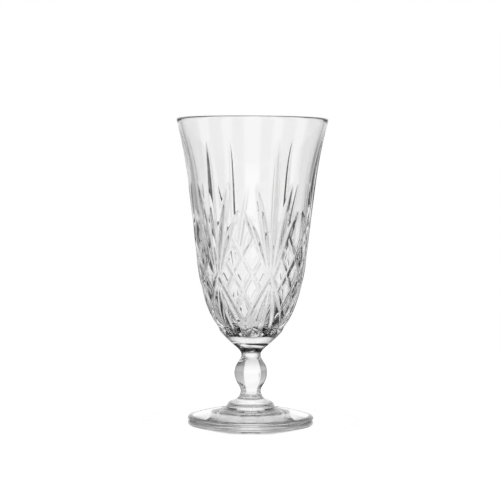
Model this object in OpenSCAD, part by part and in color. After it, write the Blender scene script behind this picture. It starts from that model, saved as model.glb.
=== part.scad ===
/* [Overall] */
// Height from table to lip
goblet_h = 177; // [172:0.5:182]
// Diameter across the rim
rim_d = 89; // [85:0.5:93]
// Height of the seam between bowl and stem
bowl_seam_z = 40.3; // [39.8:0.1:40.8]
// Height of the seam between stem and foot
foot_seam_z = 15.4; // [15.2:0.1:15.8]

/* [Bowl] */
// Wall thickness of the bowl
wall = 4; // [3.6:0.1:4.4]
// Thickness of the rounded lip
lip = 2.2; // [1.8:0.1:3]
// Height of the inside bottom of the bowl
well_z = 51; // [50:0.5:52]
// Radius at the bowl's seam
seam_r = 6.2; // [6:0.05:6.4]
// Radius of the belly, where the bowl turns up into its wall
belly_r = 30.1; // [29.6:0.1:30.6]
// Height of the belly
belly_z = 82; // [80:0.5:84]

/* [Cut pattern] */
// Number of fans round the bowl
fans = 6; // [6:1:6]
// Turn of the first fan from the front, to the right
fan_turn = 21; // [0:1:59]
// Height of the fan centres
fan_z = 84; // [82:0.5:86]
// Height of the tip of the middle leaf
leaf_tip_z = 164; // [158:1:167]
// Width of a leaf cut at its widest
leaf_w = 4.4; // [3.6:0.1:5]
// Depth of a leaf cut at its deepest
leaf_depth = 1.3; // [1:0.1:1.4]
// Height of the top corner of a diamond field
field_top_z = 116; // [113:0.5:118]
// Height of the bottom corner of a diamond field
field_low_z = 57; // [56:0.5:58]
// Width of a groove in the diamond field
groove_w = 2.4; // [2:0.1:2.8]
// Depth of a groove in the diamond field
groove_depth = 0.8; // [0.6:0.1:0.9]
// Width of a flute under a fan at its widest
flute_w = 9; // [8.6:0.1:9.2]
// Depth of a flute under a fan at its deepest
flute_depth = 2.4; // [2.1:0.1:2.4]

/* [Stem] */
// Width of the knop across its corners
knop_w = 19.8; // [19.2:0.1:20.4]
// Height of the widest part of the knop
knop_z = 27.7; // [27.2:0.1:28.2]
// Width of the round upper neck
upper_neck_w = 11.4; // [11:0.1:11.8]
// Width of the six-sided lower neck across its corners
lower_neck_w = 12.2; // [11.8:0.1:12.6]
// Turn of the knop's front facet from the front, to the right
knop_turn = 5.6; // [0:0.1:59]

/* [Foot] */
// Diameter of the foot
foot_d = 73.6; // [70:0.2:78]
// Thickness of the foot's rounded edge
foot_edge = 2.8; // [2.6:0.1:3]
// Radius of the foot's round top at the seam
foot_top_r = 6.4; // [6.4:0.05:6.6]
// Width of the flat ring that the foot stands on
ring_w = 1.5; // [1:0.1:2]
// Depth of the hollow under the foot
hollow = 3; // [2.7:0.1:3.2]

/* [Hidden] */
$fn = 96;
crystal = [0.86, 0.9, 0.92, 0.6];
sector = 360 / fans;
lip_r = lip / 2;
rim_r = rim_d / 2;
foot_r = foot_d / 2;
edge_r = foot_edge / 2;
// Lean of the wall at the lip, from upright
flare = 15;
lip_centre = [rim_r - lip_r, goblet_h - lip_r];
// How far the blade of a cut stands proud of the glass, and how far its ends lift clear of it
proud = 0.6;
lift = 0.15;

// Outer wall of the bowl: height, radius and slope of the radius at each turn of its curve
outer_curve = [
    [bowl_seam_z, seam_r, 0.55],
    [45, seam_r + 4.75, 1.12],
    [58.8, belly_r - 7.4, 0.5],
    [belly_z, belly_r, 0.24],
    [104, belly_r + 3.1, 0.11],
    [140, rim_r - 7, 0.13],
    [lip_centre[1] - lip_r * sin(flare), lip_centre[0] + lip_r * cos(flare), tan(flare)]
];
// Inner wall of the bowl above its round bottom, in the same form
well_turn = [62, belly_r - 10.4, 0.46];
inner_curve = [
    well_turn,
    [belly_z, belly_r - wall - 0.1, 0.24],
    [104, belly_r + 3.1 - wall, 0.11],
    [140, rim_r - 7 - wall, 0.13],
    [lip_centre[1] + lip_r * sin(flare), lip_centre[0] - lip_r * cos(flare), tan(flare)]
];
// Half the width of the knop across its flats, at each height
flat_share = cos(30);
facet_curve = [
    [foot_seam_z, 5.5, -0.25],
    [17.2, lower_neck_w / 2 * flat_share, 0],
    [22.5, 7.35, 0.41],
    [knop_z, knop_w / 2 * flat_share, 0],
    [33, 7.5, -0.45],
    [37.4, 5.9, 0],
    [bowl_seam_z, 6.5, 0.3]
];
// Round blank that the knop's facets are ground from, above its widest part
blank_curve = [
    [29, 10.8, -0.3],
    [33, 8.65, -0.66],
    [36.5, 6.3, -0.45],
    [38.9, upper_neck_w / 2, 0],
    [bowl_seam_z, seam_r, 0.45]
];

// Value at height z of a curve that passes through its points with the slopes given there
function curve_at(curve, z, i = 0) =
    (i < len(curve) - 2 && z > curve[i + 1][0])
        ? curve_at(curve, z, i + 1)
        : span_at(curve[i], curve[i + 1], z);
function span_at(a, b, z) =
    let (h = b[0] - a[0], t = (z - a[0]) / h, u = 1 - t)
    a[1] * u * u * (1 + 2 * t) + a[2] * h * t * u * u
    + b[1] * t * t * (1 + 2 * u) - b[2] * h * t * t * u;
// Points of a whole curve from its first height to its last, as [radius, height]
function curve_points(curve, steps) =
    let (low = curve[0][0], high = curve[len(curve) - 1][0])
    [for (i = [0:steps]) let (z = low + (high - low) * i / steps) [curve_at(curve, z), z]];
function backwards(points) = [for (i = [len(points) - 1:-1:0]) points[i]];
// Points of a bend from a to d that leaves towards b and arrives from c
function bend(a, b, c, d, steps = 8) =
    [for (i = [0:steps]) let (t = i / steps, u = 1 - t)
        a * u * u * u + 3 * b * t * u * u + 3 * c * t * t * u + d * t * t * t];
// Points of an arc, as [radius, height]
function arc(centre, r, from, to, steps = 8) =
    [for (i = [0:steps]) let (a = from + (to - from) * i / steps) centre + r * [cos(a), sin(a)]];

// Point at an angle to the right of the front, radius and height
function round_point(angle, r, z) = [r * sin(angle), -r * cos(angle), z];
function outer_r(z) = curve_at(outer_curve, z);
function outer_slope(z) = (outer_r(z + 0.1) - outer_r(z - 0.1)) / 0.2;
function outer_point(angle, z) = round_point(angle, outer_r(z), z);
function outer_normal(angle, z) =
    let (s = outer_slope(z)) round_point(angle, 1, -s) / sqrt(1 + s * s);
function unit(v) = v / norm(v);

// A V-shaped wheel cut along a path on the outer wall. Each stop of the path is an angle, a height
// and the share of the full depth that the cut has there.
module wheel_cut(path, depth, width) {
    last = len(path) - 1;
    flank = width / 2 / depth;
    surface = [for (p = path) outer_point(p[0], p[1])];
    stops = [for (i = [0:last])
        let (
            p = path[i],
            n = outer_normal(p[0], p[1]),
            along = surface[min(i + 1, last)] - surface[max(i - 1, 0)],
            across = unit(cross(n, along)),
            d = (depth + lift) * p[2] - lift,
            half = flank * (d + proud)
        )
        [
            surface[i] - d * n,
            surface[i] + proud * n + half * across,
            surface[i] + proud * n - half * across
        ]];
    points = [for (stop = stops) each stop];
    sides = [for (i = [0:last - 1], k = [0:2])
        let (a = 3 * i + k, b = 3 * i + (k + 1) % 3)
        each [[b, a, a + 3], [b, a + 3, b + 3]]];
    polyhedron(points, concat([[0, 1, 2]], sides, [[3 * last + 2, 3 * last + 1, 3 * last]]), convexity = 4);
}

// Depth shares along a cut: a leaf is widest past its middle and ends blunt, a flute deepens and ends round
leaf_rise = 0.9;
leaf_fall = 0.7;
leaf_peak = leaf_rise / (leaf_rise + leaf_fall);
function leaf_share(t) = pow(t / leaf_peak, leaf_rise) * pow((1 - t) / (1 - leaf_peak), leaf_fall);
flute_peak = 0.85;
function flute_share(t) =
    t < flute_peak ? t / flute_peak : sqrt(max(0, 1 - pow((t - flute_peak) / (1 - flute_peak), 2)));

// Path from one [angle, height] to another, with shares given by kind: 0 even, 1 leaf, 2 flute
function cut_path(a, b, kind, steps) =
    [for (i = [0:steps])
        let (t = i / steps, p = a + (b - a) * t)
        [p[0], p[1], kind == 0 ? 1 : kind == 1 ? leaf_share(t) : flute_share(t)]];

// Cuts of a fan start a little apart: the share of its tip's angle at which a cut starts, and how much
// lower or higher its start lies for each degree of that angle
leaf_spread = 0.06;
leaf_stagger = 0.03;
flute_spread = 0.07;
flute_stagger = 0.02;
// Heights at which leaves and flutes start, and to which flutes reach
leaf_start_z = fan_z - 2;
flute_start_z = fan_z - 4;
flute_low_z = field_low_z - 5.5;

// Five leaves of a fan: angle from the fan's middle and height of each tip
leaf_tips = [[0, leaf_tip_z], [17.5, leaf_tip_z - 25], [-17.5, leaf_tip_z - 25],
    [27, leaf_tip_z - 41], [-27, leaf_tip_z - 41]];
leaf_steps = 4;
module fan() {
    for (tip = leaf_tips) {
        start = [tip[0] * leaf_spread, leaf_start_z + abs(tip[0]) * leaf_stagger];
        wheel_cut(cut_path(start, tip, 1, leaf_steps), leaf_depth, leaf_w);
    }
}

// Flutes that hang under a fan, evenly spread over its sector
flutes = 3;
flute_steps = 6;
module flute_group() {
    for (i = [0:flutes - 1]) {
        angle = ((i + 0.5) / flutes - 0.5) * sector;
        start = [angle * flute_spread, flute_start_z - abs(angle) * flute_stagger];
        wheel_cut(cut_path(start, [angle, flute_low_z], 2, flute_steps), flute_depth, flute_w);
    }
}

// A diamond field between two fans: grooves along both directions of its rhombus, three cells each way.
// The upper edges are left to the fans' outer leaves.
cells = 3;
field_steps = 3;
// Share of its length by which a groove runs past each end, so that it crosses the next one cleanly
overrun = 0.03;
// How much deeper the second direction of grooves is cut than the first, which it crosses
second_deeper = 0.04;
field_top = [0, field_top_z];
field_side = [sector / 2, (field_top_z + field_low_z) / 2];
module diamond_field() {
    for (side = [-1, 1], i = [1:cells]) {
        down = [side * field_side[0], field_side[1] - field_top_z];
        start = field_top + down * i / cells;
        run = [-down[0], down[1]];
        path = cut_path(start - run * overrun, start + run * (1 + overrun), 0, field_steps);
        wheel_cut(path, groove_depth + (side > 0 ? second_deeper : 0), groove_w);
    }
}

module bowl_blank() {
    rotate_extrude() polygon(concat(
        [[0, bowl_seam_z]],
        curve_points(outer_curve, 28),
        arc(lip_centre, lip_r, -flare, 180 - flare),
        backwards(curve_points(inner_curve, 16)),
        bend([well_turn[1], well_turn[0]], [well_turn[1] - 2.8, well_turn[0] - 6], [12, well_z], [0, well_z])
    ));
}

// One repeat of the pattern: a fan, the flutes under it and the diamond field to its right
module sector_cuts(i) {
    rotate([0, 0, fan_turn + sector * i]) {
        fan();
        flute_group();
        rotate([0, 0, sector / 2]) diamond_field();
    }
}

// The blank with its first repeats cut, one after another
module cut_blank(repeats) {
    if (repeats == 0) bowl_blank();
    else difference() {
        cut_blank(repeats - 1);
        sector_cuts(repeats);
    }
}

module bowl() {
    color(crystal) cut_blank(fans);
}

// One pair of opposite facets, as a slab with the knop's outline
module facet_pair() {
    outline = curve_points(facet_curve, 24);
    mirrored = [for (p = backwards(outline)) [-p[0], p[1]]];
    rotate([90, 0, 0]) linear_extrude(knop_w * 2, center = true) polygon(concat(outline, mirrored));
}

module stem() {
    color(crystal) intersection() {
        rotate_extrude() polygon(concat(
            [[0, foot_seam_z], [blank_curve[0][1], foot_seam_z]],
            curve_points(blank_curve, 16),
            [[0, bowl_seam_z]]
        ));
        rotate([0, 0, knop_turn + 90]) facet_pair();
        rotate([0, 0, knop_turn + 150]) facet_pair();
        rotate([0, 0, knop_turn + 210]) facet_pair();
    }
}

module foot() {
    pad_top = [12.2, 10.85];
    pad_side = [13.4, 9.55];
    disc_start = [18.2, 6.75];
    hollow_turn = [23.5, hollow - 0.65];
    edge_centre = [foot_r - edge_r, edge_r];
    edge = arc(edge_centre, edge_r, 75, -90, 12);
    ring_inner = edge_centre[0] - ring_w;
    color(crystal) rotate_extrude() polygon(concat(
        [[0, foot_seam_z]],
        bend([foot_top_r, foot_seam_z], [6.55, 12.9], [9.6, 12.15], pad_top),
        bend(pad_top, [13, 10.5], [13.2, 10.1], pad_side, 4),
        bend(pad_side, [13.9, 8], [15.3, 7.35], disc_start),
        bend(disc_start, [24, 6], [30, 4.45], edge[0]),
        edge,
        bend([ring_inner, 0], [30.5, 0.85], [26.5, hollow - 1.25], hollow_turn),
        bend(hollow_turn, [20.5, hollow - 0.05], [12, hollow], [0, hollow])
    ));
}

bowl();
stem();
foot();
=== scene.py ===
import math

import bpy
import numpy as np
from mathutils import Matrix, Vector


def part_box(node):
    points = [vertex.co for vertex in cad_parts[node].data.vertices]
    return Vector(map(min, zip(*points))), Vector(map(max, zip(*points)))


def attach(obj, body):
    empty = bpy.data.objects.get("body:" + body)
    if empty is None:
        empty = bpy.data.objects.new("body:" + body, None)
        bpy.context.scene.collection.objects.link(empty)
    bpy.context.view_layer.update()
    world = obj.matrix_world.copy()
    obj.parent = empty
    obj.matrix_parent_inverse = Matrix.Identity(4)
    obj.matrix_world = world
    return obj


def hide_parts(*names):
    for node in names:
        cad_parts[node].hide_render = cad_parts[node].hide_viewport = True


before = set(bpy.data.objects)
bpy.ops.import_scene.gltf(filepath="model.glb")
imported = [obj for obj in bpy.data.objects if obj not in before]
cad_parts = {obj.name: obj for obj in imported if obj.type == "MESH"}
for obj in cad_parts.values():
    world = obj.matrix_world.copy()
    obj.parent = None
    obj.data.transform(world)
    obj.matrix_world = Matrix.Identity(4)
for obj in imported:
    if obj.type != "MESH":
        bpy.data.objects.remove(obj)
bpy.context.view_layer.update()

# Foot
# The foot is a pressed disc of clear crystal: a low cone, a stepped pad under the stem, a fire-polished
# round edge and a hollow underside that leaves a ring to stand on. It is fused hot to the stem.
MM = 0.001
foot_r, _, foot_seam_z = np.array(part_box("foot")[1]) / MM
FOOT_EDGE = 2.8
FOOT_TOP_R = 6.4
RING_W = 1.5
HOLLOW = 3.0
# Fused neighbours reach this far into each other, so that light passes the seam as in one glass
FUSE = 0.02
CRYSTAL_TINT = "#fefefe"
CRYSTAL_IOR = 1.54


def linear(hex_colour):
    """Linear RGBA of an sRGB hex colour."""
    srgb = [int(hex_colour[i:i + 2], 16) / 255 for i in (1, 3, 5)]
    return [c / 12.92 if c <= 0.04045 else ((c + 0.055) / 1.055) ** 2.4 for c in srgb] + [1.0]


def add_node(tree, kind, settings=(), inputs=()):
    """Adds a node, sets its properties, and sets or links its inputs by name or number."""
    node = tree.nodes.new(kind)
    for name, value in dict(settings).items():
        setattr(node, name, value)
    for key, value in dict(inputs).items():
        if isinstance(value, bpy.types.NodeSocket):
            tree.links.new(value, node.inputs[key])
        else:
            node.inputs[key].default_value = value
    return node


def fire_polished_crystal():
    """Lead-free crystal, pressed and fire polished: clear, colourless and bright, with a high index that
    sparkles at the cuts. The polish leaves a slow ripple about 9 mm long and a faint bloom."""
    ripple_mm, ripple_height_mm, ripple_strength = 9.0, 0.2, 0.06
    bloom_mm, bloom_roughness = 2.5, 0.01
    material = bpy.data.materials.new("fire_polished_crystal")
    material.use_nodes = True
    tree = material.node_tree
    tree.nodes.clear()
    place = add_node(tree, "ShaderNodeTexCoord").outputs["Object"]
    ripple = add_node(tree, "ShaderNodeTexNoise", {}, {
        "Vector": place, "Scale": 1 / (ripple_mm * MM), "Detail": 1.0})
    bump = add_node(tree, "ShaderNodeBump", {}, {
        "Strength": ripple_strength, "Distance": ripple_height_mm * MM, "Height": ripple.outputs["Fac"]})
    bloom = add_node(tree, "ShaderNodeTexNoise", {}, {
        "Vector": place, "Scale": 1 / (bloom_mm * MM), "Detail": 2.0})
    rough = add_node(tree, "ShaderNodeMapRange", {}, {
        "Value": bloom.outputs["Fac"], "To Min": 0.0, "To Max": bloom_roughness})
    glass = add_node(tree, "ShaderNodeBsdfPrincipled", {}, {
        "Base Color": linear(CRYSTAL_TINT), "Roughness": rough.outputs["Result"], "IOR": CRYSTAL_IOR,
        "Transmission Weight": 1.0, "Normal": bump.outputs["Normal"]})
    add_node(tree, "ShaderNodeOutputMaterial", {}, {"Surface": glass.outputs["BSDF"]})
    return material


crystal = fire_polished_crystal()


def bend(a, b, c, d, steps):
    """Cubic bend from a to d that leaves towards b and arrives from c, as rows of radius and height."""
    t = np.linspace(0, 1, steps + 1)[:, None]
    u = 1 - t
    a, b, c, d = map(np.array, (a, b, c, d))
    return a * u ** 3 + 3 * b * t * u ** 2 + 3 * c * t ** 2 * u + d * t ** 3


def arc(centre, radius, start, end, steps):
    """Arc round a centre between two angles in degrees, as rows of radius and height."""
    angle = np.radians(np.linspace(start, end, steps + 1))
    return np.array(centre) + radius * np.stack([np.cos(angle), np.sin(angle)], axis=1)


def turned_rows(profile, columns):
    """Radius and height grids of a plain turned profile: each row repeats one profile point."""
    return [np.repeat(profile[:, i][:, None], columns, axis=1) for i in (0, 1)]


def ring_faces(rows, columns, first=0):
    """Quads between neighbouring rows of a grid that closes on itself."""
    row, col = np.meshgrid(np.arange(rows - 1), np.arange(columns), indexing="ij")
    side = (col + 1) % columns
    near, far = row * columns, (row + 1) * columns
    corners = [near + col, near + side, far + side, far + col]
    return first + np.stack(corners, axis=-1).reshape(-1, 4)


def grid_points(radius, height):
    """Points of a turned grid in metres: x = r sin a, y = -r cos a, with a = 0 at the front."""
    columns = radius.shape[1]
    angle = np.arange(columns) * 2 * math.pi / columns
    points = [radius * np.sin(angle), -radius * np.cos(angle), height]
    return np.stack(points, axis=-1).reshape(-1, 3) * MM


def fan_faces(centre, ring, outward_up):
    """Triangles from a centre point to a closed ring of points."""
    following = np.roll(ring, -1)
    pair = (ring, following) if outward_up else (following, ring)
    return np.stack([np.full(len(ring), centre), *pair], axis=1)


# Edges that turn by more than this many degrees stay crisp
CREASE = 60.0


def crystal_piece(name, points, faces, node):
    """Puts a closed grid into a mesh of crystal that stands for a CAD node."""
    mesh = bpy.data.meshes.new(name)
    mesh.from_pydata(points.tolist(), [], faces)
    mesh.materials.append(crystal)
    mesh.shade_smooth()
    mesh.set_sharp_from_angle(angle=math.radians(CREASE))
    piece = bpy.data.objects.new(name, mesh)
    bpy.context.scene.collection.objects.link(piece)
    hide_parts(node)
    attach(piece, "root")


def turned_solid(name, radius, height, node):
    """A grid from bottom to top of a solid, closed by a centre point at each end."""
    rows, columns = radius.shape
    points = grid_points(radius, height)
    ends = np.array([[0, 0, height[0, 0]], [0, 0, height[-1, 0]]]) * MM
    low, high = rows * columns, rows * columns + 1
    faces = ring_faces(rows, columns).tolist()
    faces += fan_faces(low, np.arange(columns), False).tolist()
    faces += fan_faces(high, (rows - 1) * columns + np.arange(columns), True).tolist()
    crystal_piece(name, np.concatenate([points, ends]), faces, node)


edge_r = FOOT_EDGE / 2
edge_centre = (foot_r - edge_r, edge_r)
ring_inner = edge_centre[0] - RING_W
hollow_turn = (23.5, HOLLOW - 0.65)
pad_top = (12.2, 10.85)
pad_side = (13.4, 9.55)
disc_start = (18.2, 6.75)
edge_rows = arc(edge_centre, edge_r, -90, 75, 24)
foot_profile = np.concatenate([
    bend((1, HOLLOW), (12, HOLLOW), (20.5, HOLLOW - 0.05), hollow_turn, 20),
    bend(hollow_turn, (26.5, HOLLOW - 1.25), (30.5, 0.85), (ring_inner, 0), 12)[1:],
    edge_rows,
    bend(edge_rows[-1], (30, 4.45), (24, 6), disc_start, 24)[1:],
    bend(disc_start, (15.3, 7.35), (13.9, 8), pad_side, 16)[1:],
    bend(pad_side, (13.2, 10.1), (13, 10.5), pad_top, 8)[1:],
    bend(pad_top, (9.6, 12.15), (6.55, 12.9), (FOOT_TOP_R, foot_seam_z + FUSE), 20)[1:],
])
FOOT_COLUMNS = 240
turned_solid("crystal_foot", *turned_rows(foot_profile, FOOT_COLUMNS), "foot")

# Stem
# The stem is a solid gather of the same crystal: a round neck above, and a knop and a lower neck ground to
# six facets that are flat across and curved from top to bottom. Its ends are fused to bowl and foot.
bowl_seam_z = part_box("stem")[1][2] / MM
KNOP_W = 19.8
KNOP_Z = 27.7
UPPER_NECK_W = 11.4
LOWER_NECK_W = 12.2
SEAM_R = 6.2
KNOP_TURN = 5.6
FACETS = 6
FACET_EDGE = 0.4


def curve_at(knots, z):
    """Cubic curve through knots of height, value and slope, at each height z."""
    knots = np.array(knots)
    i = np.clip(np.searchsorted(knots[:, 0], z) - 1, 0, len(knots) - 2)
    (z0, v0, s0), (z1, v1, s1) = knots[i].T, knots[i + 1].T
    z0, v0, s0, z1, v1, s1 = [a.T for a in (z0, v0, s0, z1, v1, s1)]
    h = z1 - z0
    t = (z - z0) / h
    u = 1 - t
    return v0 * u * u * (1 + 2 * t) + s0 * h * t * u * u + v1 * t * t * (1 + 2 * u) - s1 * h * t * t * u


def soft_min(a, b, size):
    """Smaller of two values, with the crease between them rounded over size."""
    return (a + b - np.sqrt((a - b) ** 2 + size ** 2)) / 2


flat_share = math.cos(math.pi / FACETS)
facet_curve = [
    (foot_seam_z, 5.5, -0.25), (17.2, LOWER_NECK_W / 2 * flat_share, 0), (22.5, 7.35, 0.41),
    (KNOP_Z, KNOP_W / 2 * flat_share, 0), (33, 7.5, -0.45), (37.4, 5.9, 0), (bowl_seam_z, 6.5, 0.3)]
blank_curve = [
    (foot_seam_z, 10.8, 0), (29, 10.8, -0.3), (33, 8.65, -0.66), (36.5, 6.3, -0.45),
    (38.9, UPPER_NECK_W / 2, 0), (bowl_seam_z, SEAM_R, 0.45)]


def knop_radius(angle, z):
    """Radius of the knop: the nearest facet, apothem / cos(angle from its middle), or the round blank
    where that is smaller, with softened edges between facets and against the blank."""
    step = 2 * math.pi / FACETS
    off = (angle - math.radians(KNOP_TURN) + step / 2) % step - step / 2
    facet = curve_at(facet_curve, z)
    near = facet / np.cos(off)
    beside = facet / np.maximum(np.cos(step - np.abs(off)), 0.2)
    return soft_min(soft_min(near, beside, FACET_EDGE), curve_at(blank_curve, z), FACET_EDGE)


STEM_COLUMNS = 288
STEM_ROWS = 110
stem_z = np.linspace(foot_seam_z - FUSE, bowl_seam_z + FUSE, STEM_ROWS)[:, None]
stem_angle = np.arange(STEM_COLUMNS) * 2 * math.pi / STEM_COLUMNS
stem_height = np.repeat(stem_z, STEM_COLUMNS, axis=1)
stem_radius = knop_radius(np.broadcast_to(stem_angle, stem_height.shape), stem_height)
turned_solid("crystal_stem", stem_radius, stem_height, "stem")

# Bowl
# The bowl is pressed crystal with a 4 mm wall, a rounded lip and a thick base. Six repeats of a wheel-cut
# pattern run round it: a fan of five V-shaped leaves, flutes under it, and a field of diamonds between fans.
rim_r, _, goblet_h = np.array(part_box("bowl")[1]) / MM
WALL = 4.0
LIP = 2.2
WELL_Z = 51.0
BELLY_R = 30.1
BELLY_Z = 82.0
FANS = 6
FAN_TURN = 21.0
FAN_Z = 84.0
# Each leaf leans this many degrees at its tip, which lies this far under the middle leaf's
LEAVES = ((0.0, 0.0), (17.5, 25.0), (27.0, 41.0))
LEAF_START_Z = FAN_Z - 2
LEAF_TIP_Z = 164.0
# Share of its lean that a leaf has at the fan's centre, and its rise there in mm for each degree
LEAF_SPREAD = 0.06
LEAF_STAGGER = 0.03
LEAF_W = 4.4
LEAF_DEPTH = 1.3
FIELD_TOP_Z = 116.0
FIELD_LOW_Z = 57.0
CELLS = 3
GROOVE_W = 2.4
GROOVE_DEPTH = 0.8
GROOVE_ROUND = 0.5
# Lean of each flute at its foot, in degrees
FLUTES = (0.0, 20.0)
FLUTE_START_Z = FAN_Z - 4
FLUTE_LOW_Z = FIELD_LOW_Z - 5.5
FLUTE_SPREAD = 0.07
FLUTE_STAGGER = 0.02
FLUTE_W = 9.0
FLUTE_DEPTH = 2.4
FLARE = 15.0
lip_r = LIP / 2
lip_centre = (rim_r - lip_r, goblet_h - lip_r)
lip_rise = lip_r * math.sin(math.radians(FLARE))
lip_reach = lip_r * math.cos(math.radians(FLARE))
lip_slope = math.tan(math.radians(FLARE))
outer_curve = [
    (bowl_seam_z, SEAM_R, 0.55), (45, SEAM_R + 4.75, 1.12), (58.8, BELLY_R - 7.4, 0.5),
    (BELLY_Z, BELLY_R, 0.24), (104, BELLY_R + 3.1, 0.11), (140, rim_r - 7, 0.13),
    (lip_centre[1] - lip_rise, lip_centre[0] + lip_reach, lip_slope)]
well_turn = (62.0, BELLY_R - 10.4)
inner_curve = [
    (well_turn[0], well_turn[1], 0.46), (BELLY_Z, BELLY_R - WALL - 0.1, 0.24),
    (104, BELLY_R + 3.1 - WALL, 0.11), (140, rim_r - 7 - WALL, 0.13),
    (lip_centre[1] + lip_rise, lip_centre[0] - lip_reach, lip_slope)]
SECTOR = 360 / FANS
ROUNDING = 0.12


def v_cut(across, depth, full_depth, width, rounding):
    """Depth of a V-shaped cut: its depth on the middle line, less the flank's rise with the distance
    across in mm, which starts round over the length given."""
    rise = np.hypot(across, rounding) - rounding
    return depth - rise * full_depth / (np.hypot(width / 2, rounding) - rounding)


def leaf_depth_at(side, r, z):
    """Deepest of a fan's leaves. A leaf runs straight in angle and height from the fan's centre to its tip,
    and its depth follows t ** rise (1 - t) ** fall, so that it is widest past the middle and ends blunt."""
    deepest = np.full(z.shape, -1.0)
    rise, fall = 0.9, 0.7
    widest = rise / (rise + fall)
    for tip, drop in LEAVES:
        start = LEAF_START_Z + tip * LEAF_STAGGER
        run = LEAF_TIP_Z - drop - start
        t = (z - start) / run
        middle = tip * (LEAF_SPREAD + (1 - LEAF_SPREAD) * t)
        lean = np.cos(np.arctan(np.radians(tip) * r / run))
        across = np.radians(side - middle) * r * lean
        along = np.clip(t, 0, 1)
        share = (along / widest) ** rise * ((1 - along) / (1 - widest)) ** fall
        share = np.where((t > 0) & (t < 1), share, -1.0)
        deepest = np.maximum(deepest, v_cut(across, LEAF_DEPTH * share, LEAF_DEPTH, LEAF_W, ROUNDING))
    return deepest


def flute_depth_at(side, r, z):
    """Deepest of the flutes that hang from a fan's centre. Their width and depth grow steadily, so that they
    fill the space under the fan, and they end round."""
    deepest = np.full(z.shape, -1.0)
    peak = 0.85
    for angle in FLUTES:
        start = FLUTE_START_Z - angle * FLUTE_STAGGER
        run = start - FLUTE_LOW_Z
        t = (start - z) / run
        middle = angle * (FLUTE_SPREAD + (1 - FLUTE_SPREAD) * t)
        lean = np.cos(np.arctan(np.radians(angle) * r / run))
        across = np.radians(side - middle) * r * lean
        end = np.sqrt(np.maximum(1 - ((t - peak) / (1 - peak)) ** 2, 0))
        share = np.where(t < peak, t / peak, end)
        share = np.where((t > 0) & (t < 1), share, -1.0)
        deepest = np.maximum(deepest, v_cut(across, FLUTE_DEPTH * share, FLUTE_DEPTH, FLUTE_W, ROUNDING))
    return deepest


def field_depth_at(side, r, z):
    """Deepest of the grooves of a diamond field, in the two edge directions u and v of its rhombus, where
    u + v counts down from the top corner and v - u counts round from the middle."""
    slack = 0.01
    half_h = (FIELD_TOP_Z - FIELD_LOW_Z) / 2
    down = (FIELD_TOP_Z - z) / half_h
    deepest = np.full(z.shape, -1.0)
    per_mm = 0.5 * np.hypot(np.degrees(1 / r) / (SECTOR / 2), 1 / half_h)
    for turn in (-1, 1):
        u = (down + turn * side / (SECTOR / 2)) / 2
        v = (down - turn * side / (SECTOR / 2)) / 2
        inside = (v > -slack) & (v < 1 + slack)
        for line in np.arange(1, CELLS + 1) / CELLS:
            cut = v_cut((u - line) / per_mm, GROOVE_DEPTH, GROOVE_DEPTH, GROOVE_W, GROOVE_ROUND)
            deepest = np.maximum(deepest, np.where(inside, cut, -1.0))
    return deepest


def pattern_depth(angle, r, z):
    """Depth of the whole cut pattern at an angle in degrees, radius and height, never below zero, with the
    edges of the cuts slightly rounded."""
    from_fan = np.abs((angle - FAN_TURN + SECTOR / 2) % SECTOR - SECTOR / 2)
    from_field = (angle - FAN_TURN) % SECTOR - SECTOR / 2
    cut = np.maximum(leaf_depth_at(from_fan, r, z), flute_depth_at(from_fan, r, z))
    cut = np.maximum(cut, field_depth_at(from_field, r, z))
    edge = ROUNDING / 2
    return (cut + np.sqrt(cut ** 2 + edge ** 2)) / 2 * (cut > -5 * edge)


# Rows lie close together where the wall is cut, and the smooth inside has a quarter of the columns
BOWL_COLUMNS = 528
INNER_SHARE = 4
NECK_ROWS = 12
CUT_ROWS = 140
RIM_ROWS = 5
LIP_STEPS = 10
INNER_ROWS = 48
WELL_STEPS = 24
CUT_LOW_Z = 53.0
CUT_HIGH_Z = 166.0
NECK_GAP = 0.4
RIM_GAP = 1.5
SLOPE_STEP = 0.05
outer_z = np.concatenate([
    [bowl_seam_z - FUSE],
    np.linspace(bowl_seam_z + NECK_GAP, CUT_LOW_Z - NECK_GAP, NECK_ROWS),
    np.linspace(CUT_LOW_Z, CUT_HIGH_Z, CUT_ROWS),
    np.linspace(CUT_HIGH_Z + RIM_GAP, outer_curve[-1][0], RIM_ROWS)])[:, None]
outer_angle = np.arange(BOWL_COLUMNS) * 360 / BOWL_COLUMNS
outer_height = np.repeat(outer_z, BOWL_COLUMNS, axis=1)
outer_base = curve_at(outer_curve, outer_height)
radius_over = curve_at(outer_curve, outer_height + SLOPE_STEP)
radius_under = curve_at(outer_curve, outer_height - SLOPE_STEP)
outer_slope = (radius_over - radius_under) / (2 * SLOPE_STEP)
cut_depth = pattern_depth(np.broadcast_to(outer_angle, outer_height.shape), outer_base, outer_height)
steep = np.sqrt(1 + outer_slope ** 2)
wall_radius = outer_base - cut_depth / steep
wall_height = outer_height + cut_depth * outer_slope / steep
lip_profile = arc(lip_centre, lip_r, -FLARE, 180 - FLARE, LIP_STEPS)[1:]
lip_radius, lip_height = turned_rows(lip_profile, BOWL_COLUMNS)
outside_radius = np.concatenate([wall_radius, lip_radius])
outside_height = np.concatenate([wall_height, lip_height])

inner_columns = BOWL_COLUMNS // INNER_SHARE
inner_z = np.linspace(inner_curve[-1][0], well_turn[0], INNER_ROWS)[1:]
inner_profile = np.concatenate([
    np.stack([curve_at(inner_curve, inner_z), inner_z], axis=1),
    bend((well_turn[1], well_turn[0]), (well_turn[1] - 2.8, well_turn[0] - 6),
         (12, WELL_Z), (0.4, WELL_Z), WELL_STEPS)[1:]])
inside_radius, inside_height = turned_rows(inner_profile, inner_columns)

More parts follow.
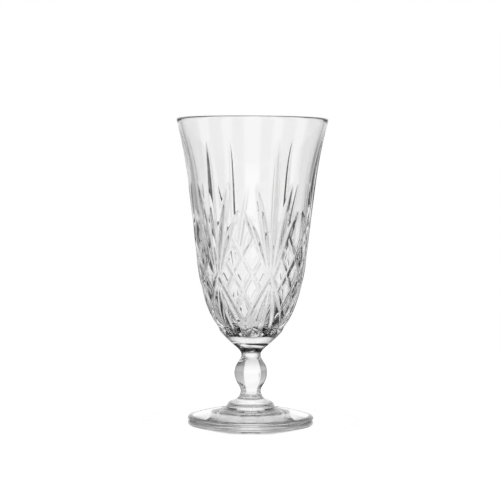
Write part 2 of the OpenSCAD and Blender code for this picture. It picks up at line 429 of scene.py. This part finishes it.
outside = grid_points(outside_radius, outside_height)
inside = grid_points(inside_radius, inside_height)
ends = np.array([[0, 0, bowl_seam_z - FUSE], [0, 0, WELL_Z]]) * MM
inner_first = len(outside)
base_centre = inner_first + len(inside)
bowl_faces = ring_faces(len(outside_radius), BOWL_COLUMNS).tolist()
bowl_faces += ring_faces(len(inside_radius), inner_columns, inner_first).tolist()
bowl_faces += fan_faces(base_centre, np.arange(BOWL_COLUMNS), False).tolist()
well_ring = inner_first + (len(inside_radius) - 1) * inner_columns + np.arange(inner_columns)
bowl_faces += fan_faces(base_centre + 1, well_ring, True).tolist()
# Where the fine outer grid meets the coarser inner one, each inner edge closes several outer ones
lip_row = (len(outside_radius) - 1) * BOWL_COLUMNS
inner_step = np.arange(inner_columns)
fine = (inner_step[:, None] * INNER_SHARE + np.arange(INNER_SHARE + 1)) % BOWL_COLUMNS + lip_row
coarse = inner_first + np.stack([(inner_step + 1) % inner_columns, inner_step], axis=1)
bowl_faces += np.concatenate([fine, coarse], axis=1).tolist()
crystal_piece("crystal_bowl", np.concatenate([outside, inside, ends]), bowl_faces, "bowl")

# Table and studio
# The goblet stands on a table of white acrylic with a polish close round the foot. White panels stand round
# the studio with dim room between them, which draws the grey and dark lines of clear glass against white.
TABLE_R = 0.5
TABLE_SIDES = 96
TABLE_WHITE = "#f4f4f4"
TABLE_LIFT = 0.2
# Where the glass mirrors the table, the table is a painted reflection: an even dim glow that stands for its
# polish showing the dim room at a low angle
TABLE_PAINTED_REFLECTION = 0.15
# The polish reaches this far from the middle, in mm, and shows only at a grazing look
POLISH_REACH = 62.0
POLISH_FADE = 6.0
POLISH_IOR = 1.5
POLISH_ROUGHNESS = 0.02
POLISH_SHARE = 0.9
GRAZING_START = 0.25
GRAZING_FULL = 0.42
table_turn = np.linspace(0, 2 * math.pi, TABLE_SIDES, endpoint=False)
table_rim = np.stack([np.cos(table_turn), np.sin(table_turn), 0 * table_turn], axis=1) * TABLE_R
table_mesh = bpy.data.meshes.new("table")
table_mesh.from_pydata(table_rim.tolist(), [], [list(range(len(table_rim)))])
table = bpy.data.objects.new("table", table_mesh)
bpy.context.scene.collection.objects.link(table)
white = bpy.data.materials.new("white_acrylic")
white.use_nodes = True
tree = white.node_tree
tree.nodes.clear()
path = add_node(tree, "ShaderNodeLightPath")
in_view = add_node(tree, "ShaderNodeBsdfDiffuse", {}, {"Color": linear(TABLE_WHITE)})
lift = add_node(tree, "ShaderNodeEmission", {}, {"Color": (1, 1, 1, 1), "Strength": TABLE_LIFT})
lifted = add_node(tree, "ShaderNodeAddShader", {}, {0: in_view.outputs[0], 1: lift.outputs[0]})
open_to_studio = add_node(tree, "ShaderNodeBsdfTransparent")
place = add_node(tree, "ShaderNodeTexCoord").outputs["Object"]
reach = add_node(tree, "ShaderNodeVectorMath", {"operation": "LENGTH"}, {0: place})
# Painted reflection: the table glows dim and even for rays mirrored off the glass
painted_dim_reflection = add_node(tree, "ShaderNodeEmission", {}, {"Color": (1, 1, 1, 1), "Strength": TABLE_PAINTED_REFLECTION})
seen = add_node(tree, "ShaderNodeMixShader", {}, {
    0: path.outputs["Is Glossy Ray"], 1: lifted.outputs[0], 2: painted_dim_reflection.outputs[0]})
base = add_node(tree, "ShaderNodeMixShader", {}, {
    0: path.outputs["Is Transmission Ray"], 1: seen.outputs[0], 2: open_to_studio.outputs[0]})
near = add_node(tree, "ShaderNodeMapRange", {}, {
    "Value": reach.outputs["Value"], "To Min": 1.0, "To Max": 0.0,
    "From Min": POLISH_REACH * MM, "From Max": (POLISH_REACH + POLISH_FADE) * MM})
sheen = add_node(tree, "ShaderNodeFresnel", {}, {"IOR": POLISH_IOR})
grazing = add_node(tree, "ShaderNodeMapRange", {}, {
    "Value": sheen.outputs["Fac"], "To Min": 0.0, "To Max": POLISH_SHARE,
    "From Min": GRAZING_START, "From Max": GRAZING_FULL})
gloss_share = add_node(tree, "ShaderNodeMath", {"operation": "MULTIPLY"}, {
    0: near.outputs["Result"], 1: grazing.outputs["Result"]})
gloss = add_node(tree, "ShaderNodeBsdfGlossy", {}, {
    "Color": (1, 1, 1, 1), "Roughness": POLISH_ROUGHNESS})
top = add_node(tree, "ShaderNodeMixShader", {}, {
    0: gloss_share.outputs[0], 1: base.outputs[0], 2: gloss.outputs[0]})
add_node(tree, "ShaderNodeOutputMaterial", {}, {"Surface": top.outputs[0]})
table_mesh.materials.append(white)

world = bpy.data.worlds.new("white_studio")
bpy.context.scene.world = world
world.use_nodes = True
tree = world.node_tree
tree.nodes.clear()
path = add_node(tree, "ShaderNodeLightPath")
way = add_node(tree, "ShaderNodeTexCoord").outputs["Generated"]
split = add_node(tree, "ShaderNodeSeparateXYZ", {}, {0: way})
turn = add_node(tree, "ShaderNodeMath", {"operation": "ARCTAN2"}, {
    0: split.outputs["X"], 1: split.outputs["Y"]})
folded = add_node(tree, "ShaderNodeMath", {"operation": "PINGPONG"}, {0: turn.outputs[0], 1: math.pi})
round_place = add_node(tree, "ShaderNodeMath", {"operation": "DIVIDE"}, {0: folded.outputs[0], 1: math.pi})
height_place = add_node(tree, "ShaderNodeMapRange", {}, {
    "Value": split.outputs["Z"], "From Min": -1.0, "From Max": 1.0})


def level_ramp(tree, place, levels):
    """Grey levels along a value from 0 to 1, given as pairs of place and level."""
    ramp = add_node(tree, "ShaderNodeValToRGB", {}, {"Fac": place})
    stops = ramp.color_ramp.elements
    stops.remove(stops[1])
    for position, level in levels:
        stops.new(position).color = (level, level, level, 1)
    stops.remove(stops[0])
    return ramp.outputs["Color"]


def levels_round(levels):
    """Studio levels given by degrees to either side of straight behind the goblet."""
    return level_ramp(tree, round_place.outputs[0], [(degrees / 180, level) for degrees, level in levels])


def levels_up(levels):
    """Studio levels given by degrees of elevation."""
    return level_ramp(tree, height_place.outputs["Result"], [
        (math.sin(math.radians(degrees)) / 2 + 0.5, level) for degrees, level in levels])


# What glass shows of the studio: white panels with dim gaps, by degrees round and by elevation
PANEL_LEVELS = (
    (0, 1.0), (14, 1.0), (20, 0.9), (26, 0.8), (32, 0.72), (40, 0.74), (47, 0.74), (52, 0.52), (58, 0.05),
    (76, 0.05), (82, 0.95), (98, 0.95), (104, 0.05), (123, 0.05), (129, 0.9), (141, 0.9), (147, 0.1),
    (162, 0.1), (168, 1.0), (180, 1.0))
HEIGHT_LEVELS = (
    (-90, 1.0), (-60, 0.9), (-42, 0.74), (-34, 0.76), (-26, 0.84), (-18, 0.95), (-8, 1.0), (35, 1.0),
    (55, 0.7), (90, 0.8))
panels = add_node(tree, "ShaderNodeVectorMath", {"operation": "MULTIPLY"}, {
    0: levels_round(PANEL_LEVELS), 1: levels_up(HEIGHT_LEVELS)})
# A dark card lies low behind the goblet, and draws the dark line of its lip
CARD_SIDES = ((0, 0.0), (24, 0.0), (32, 1.0), (180, 1.0))
CARD_HEIGHTS = ((-90, 1.0), (-75, 1.0), (-72, 0.03), (-57, 0.03), (-54, 1.0), (90, 1.0))
card = add_node(tree, "ShaderNodeVectorMath", {"operation": "MAXIMUM"}, {
    0: levels_round(CARD_SIDES), 1: levels_up(CARD_HEIGHTS)})
carded = add_node(tree, "ShaderNodeVectorMath", {"operation": "MULTIPLY"}, {
    0: panels.outputs[0], 1: card.outputs[0]})
# Light through one thickness of glass, as in stem and foot, meets dimmer panels to the sides behind, and the
# lower the dimmer, which shades the knop's side facets from top to bottom. It passes two surfaces, and light
# through the bowl's two walls, which is spared this, passes four.
SIDE_LEVELS = ((0, 1.0), (28, 1.0), (38, 0.0), (52, 0.0), (60, 1.0), (180, 1.0))
LOW_LEVELS = (
    (-90, 0.22), (-40, 0.22), (-28, 0.34), (-20, 0.56), (-12, 0.6), (0, 0.64), (12, 0.75), (30, 1.0),
    (90, 1.0))
TWO_WALLS_OVER = 3.5
side_share = add_node(tree, "ShaderNodeVectorMath", {"operation": "MAXIMUM"}, {
    0: levels_round(SIDE_LEVELS), 1: levels_up(LOW_LEVELS)})
two_walls = add_node(tree, "ShaderNodeMath", {"operation": "GREATER_THAN"}, {
    0: path.outputs["Transmission Depth"], 1: TWO_WALLS_OVER})
spared_share = add_node(tree, "ShaderNodeVectorMath", {"operation": "MAXIMUM"}, {
    0: side_share.outputs[0], 1: two_walls.outputs[0]})
light = add_node(tree, "ShaderNodeVectorMath", {"operation": "MULTIPLY"}, {
    0: carded.outputs[0], 1: spared_share.outputs[0]})
# Light from well over eye level keeps this share at each bounce inside the glass after the first, which
# stands for the dark room above. The background counts one bounce more than the light has made.
BOUNCE_SHARE = 0.22
OVERHEAD_Z = 0.22
FREE_BOUNCES = 2
inside_bounces = add_node(tree, "ShaderNodeMath", {"operation": "SUBTRACT"}, {
    0: path.outputs["Ray Depth"], 1: path.outputs["Transmission Depth"]})
late_bounces = add_node(tree, "ShaderNodeMath", {"operation": "SUBTRACT"}, {
    0: inside_bounces.outputs[0], 1: FREE_BOUNCES})
dim_steps = add_node(tree, "ShaderNodeMath", {"operation": "MAXIMUM"}, {0: late_bounces.outputs[0], 1: 0.0})
overhead = add_node(tree, "ShaderNodeMath", {"operation": "GREATER_THAN"}, {
    0: split.outputs["Z"], 1: OVERHEAD_Z})
overhead_steps = add_node(tree, "ShaderNodeMath", {"operation": "MULTIPLY"}, {
    0: dim_steps.outputs[0], 1: overhead.outputs[0]})
kept = add_node(tree, "ShaderNodeMath", {"operation": "POWER"}, {
    0: BOUNCE_SHARE, 1: overhead_steps.outputs[0]})
studio = add_node(tree, "ShaderNodeBackground", {}, {"Color": light.outputs[0], "Strength": kept.outputs[0]})

# What polish mirrors: a white band over eye level all round in an even grey room, which has dim sides under
# eye level. The band comes up and fades out between these sines of elevation.
ROOM = 0.6
BAND_LOW, BAND_FULL = -0.03, -0.01
BAND_FADING, BAND_HIGH = 0.26, 0.36
SIDES_HIGH = 0.01
MIRROR_LEVELS = ((0, 1.0), (20, 1.0), (35, 0.05), (130, 0.05), (150, 1.0), (180, 1.0))
upward = add_node(tree, "ShaderNodeMapRange", {}, {
    "Value": split.outputs["Z"], "To Min": 1.0, "To Max": ROOM,
    "From Min": BAND_FADING, "From Max": BAND_HIGH})
downward = add_node(tree, "ShaderNodeMapRange", {}, {
    "Value": split.outputs["Z"], "To Min": ROOM, "To Max": 1.0,
    "From Min": BAND_LOW, "From Max": BAND_FULL})
band = add_node(tree, "ShaderNodeMath", {"operation": "MINIMUM"}, {
    0: upward.outputs["Result"], 1: downward.outputs["Result"]})
above = add_node(tree, "ShaderNodeMath", {"operation": "GREATER_THAN"}, {
    0: split.outputs["Z"], 1: SIDES_HIGH})
sides = add_node(tree, "ShaderNodeMath", {"operation": "MAXIMUM"}, {
    0: levels_round(MIRROR_LEVELS), 1: above.outputs[0]})
mirror_level = add_node(tree, "ShaderNodeMath", {"operation": "MULTIPLY"}, {
    0: sides.outputs[0], 1: band.outputs[0]})
mirrored = add_node(tree, "ShaderNodeBackground", {}, {
    "Color": (1, 1, 1, 1), "Strength": mirror_level.outputs[0]})

# Everything else sees plain white. Light through glass also counts as glossy, so transmission is asked first.
plain = add_node(tree, "ShaderNodeBackground", {}, {"Color": (1, 1, 1, 1), "Strength": 1.0})
polished = add_node(tree, "ShaderNodeMixShader", {}, {
    0: path.outputs["Is Glossy Ray"], 1: plain.outputs[0], 2: mirrored.outputs[0]})
choice = add_node(tree, "ShaderNodeMixShader", {}, {
    0: path.outputs["Is Transmission Ray"], 1: polished.outputs[0], 2: studio.outputs[0]})
add_node(tree, "ShaderNodeOutputWorld", {}, {"Surface": choice.outputs[0]})

# Camera
# A lens of about 135 mm, about a metre away and a little under the height of the rim, from where the foot's
# ellipse opens by about 7 degrees. The camera leans and stands aside by a trace, as the picture does.
CAMERA_AWAY = 1.098
CAMERA_UP = 0.138
AIM_UP = 0.09985
FRAME_WIDTH = 0.29315
AXIS_ASIDE = 0.00095
ROLL = 0.36
camera_data = bpy.data.cameras.new("camera")
camera = bpy.data.objects.new("camera", camera_data)
bpy.context.scene.collection.objects.link(camera)
camera.location = (-AXIS_ASIDE, -CAMERA_AWAY, CAMERA_UP)
tilt = math.atan2(CAMERA_UP - AIM_UP, CAMERA_AWAY)
aim = Matrix.Rotation(math.pi / 2 - tilt, 3, "X") @ Matrix.Rotation(math.radians(ROLL), 3, "Z")
camera.rotation_euler = aim.to_euler()
camera_data.sensor_width = 36.0
camera_data.lens = camera_data.sensor_width * math.hypot(CAMERA_AWAY, CAMERA_UP - AIM_UP) / FRAME_WIDTH
camera_data.clip_end = 20.0
bpy.context.scene.camera = camera
bpy.context.scene.view_settings.view_transform = "Standard"
bpy.context.scene.cycles.max_bounces = 32
bpy.context.scene.cycles.transmission_bounces = 32
bpy.context.scene.cycles.glossy_bounces = 16
